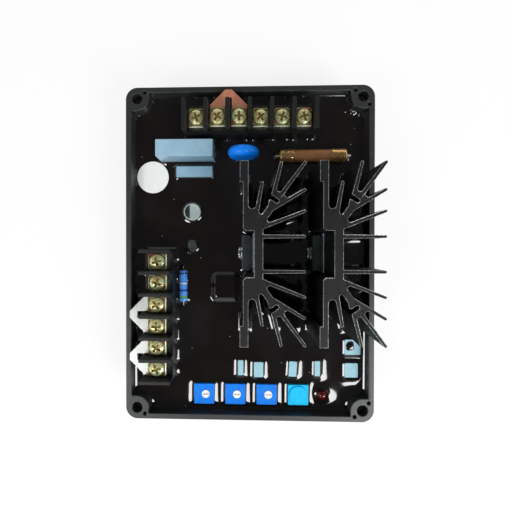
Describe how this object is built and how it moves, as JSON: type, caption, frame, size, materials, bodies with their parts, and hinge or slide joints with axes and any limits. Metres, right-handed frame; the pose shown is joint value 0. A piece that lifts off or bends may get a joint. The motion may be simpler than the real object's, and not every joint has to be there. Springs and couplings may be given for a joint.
{
  "type": "automatic voltage regulator",
  "caption": "Potted automatic voltage regulator: open tray of dark resin with upright finned heat sinks, barrier screw terminals, a fuse, capacitors and small adjustable trimmers.",
  "frame": {"origin": "centre of the flat mounting face under the tray", "axes": "+Z away from the mounting face, +Y along the tray towards the upper terminal row, +X towards the heat sinks' fin tips"},
  "size_m": [0.113, 0.152, 0.05],
  "materials": {
    "tray_plastic": "moulded, matt dark grey",
    "board_laminate": "glass laminate, green",
    "resin": "cast resin, glossy black-brown",
    "moulded_epoxy": "moulded epoxy, dark grey",
    "black_anodised": "extruded, black anodised",
    "tinned_metal": "tin plated",
    "pad_silicone": "thin silicone pad",
    "block_plastic": "moulded, black",
    "zinc_steel": "yellow zinc plated",
    "clear_zinc": "clear zinc plated",
    "copper": "bare copper",
    "fuse_ceramic": "tan fibre tube",
    "fuse_brass": "bright brass caps",
    "film_box": "pale blue moulded box",
    "box_plastic": "pale cyan moulded box",
    "can_aluminium": "bare can top",
    "disc_epoxy": "blue dipped coating",
    "resistor_lacquer": "blue lacquer",
    "trimmer_plastic": "blue moulded body",
    "seal_plastic": "cyan moulded body and seal",
    "rotor_plastic": "white moulded rotor",
    "lamp_resin": "red tinted resin, unlit",
    "label_paper": "plain white label"
  },
  "bodies": {
    "regulator": {"tray": "tray_plastic", "circuit_board": "board_laminate", "potting_resin": "resin", "buried_module": "moulded_epoxy", "heat_sink_left": "black_anodised", "heat_sink_right": "black_anodised", "heat_sink_pins": "tinned_metal", "power_device_left": "moulded_epoxy", "power_device_right": "moulded_epoxy", "device_tab_left": "tinned_metal", "device_tab_right": "tinned_metal", "insulating_pads": "pad_silicone", "fixing_screws": "clear_zinc", "fixing_washers": "clear_zinc", "upper_terminal_block": "block_plastic", "upper_terminal_plates": "tinned_metal", "upper_clamp_washers": "zinc_steel", "upper_terminal_screws": "zinc_steel", "side_terminal_block": "block_plastic", "side_terminal_plates": "tinned_metal", "side_clamp_washers": "zinc_steel", "side_terminal_screws": "zinc_steel", "copper_link": "copper", "plated_link_upper": "tinned_metal", "plated_link_lower": "tinned_metal", "fuse_tube": "fuse_ceramic", "fuse_caps": "fuse_brass", "fuse_leads": "tinned_metal", "film_capacitor_large": "film_box", "film_capacitor_small": "film_box", "electrolytic_capacitor": "can_aluminium", "surge_disc": "disc_epoxy", "resistor_body": "resistor_lacquer", "resistor_leads": "tinned_metal", "transistor": "moulded_epoxy", "trimmer_body_1": "trimmer_plastic", "trimmer_body_2": "trimmer_plastic", "trimmer_body_3": "trimmer_plastic", "trimmer_body_4": "seal_plastic", "trimmer_seal_4": "seal_plastic", "indicator_lamp": "lamp_resin", "inspection_label": "label_paper", "box_capacitor_1": "box_plastic", "box_capacitor_2": "box_plastic", "box_capacitor_3": "box_plastic", "box_capacitor_4": "box_plastic", "box_capacitor_5": "box_plastic", "box_capacitor_6": "box_plastic"},
    "rotor_1": {"trimmer_rotor_1": "rotor_plastic"},
    "rotor_2": {"trimmer_rotor_2": "rotor_plastic"},
    "rotor_3": {"trimmer_rotor_3": "rotor_plastic"}
  },
  "joints": [
    {"name": "rotor_1_turn", "type": "hinge", "parent": "regulator", "child": "rotor_1", "pos_m": [-0.02015, -0.0659, 0.0216], "axis": [0, 0, 1], "range_deg": [-140, 140]},
    {"name": "rotor_2_turn", "type": "hinge", "parent": "regulator", "child": "rotor_2", "pos_m": [-0.0055, -0.0659, 0.0216], "axis": [0, 0, 1], "range_deg": [-140, 140]},
    {"name": "rotor_3_turn", "type": "hinge", "parent": "regulator", "child": "rotor_3", "pos_m": [0.00915, -0.0659, 0.0216], "axis": [0, 0, 1], "range_deg": [-140, 140]}
  ]
}
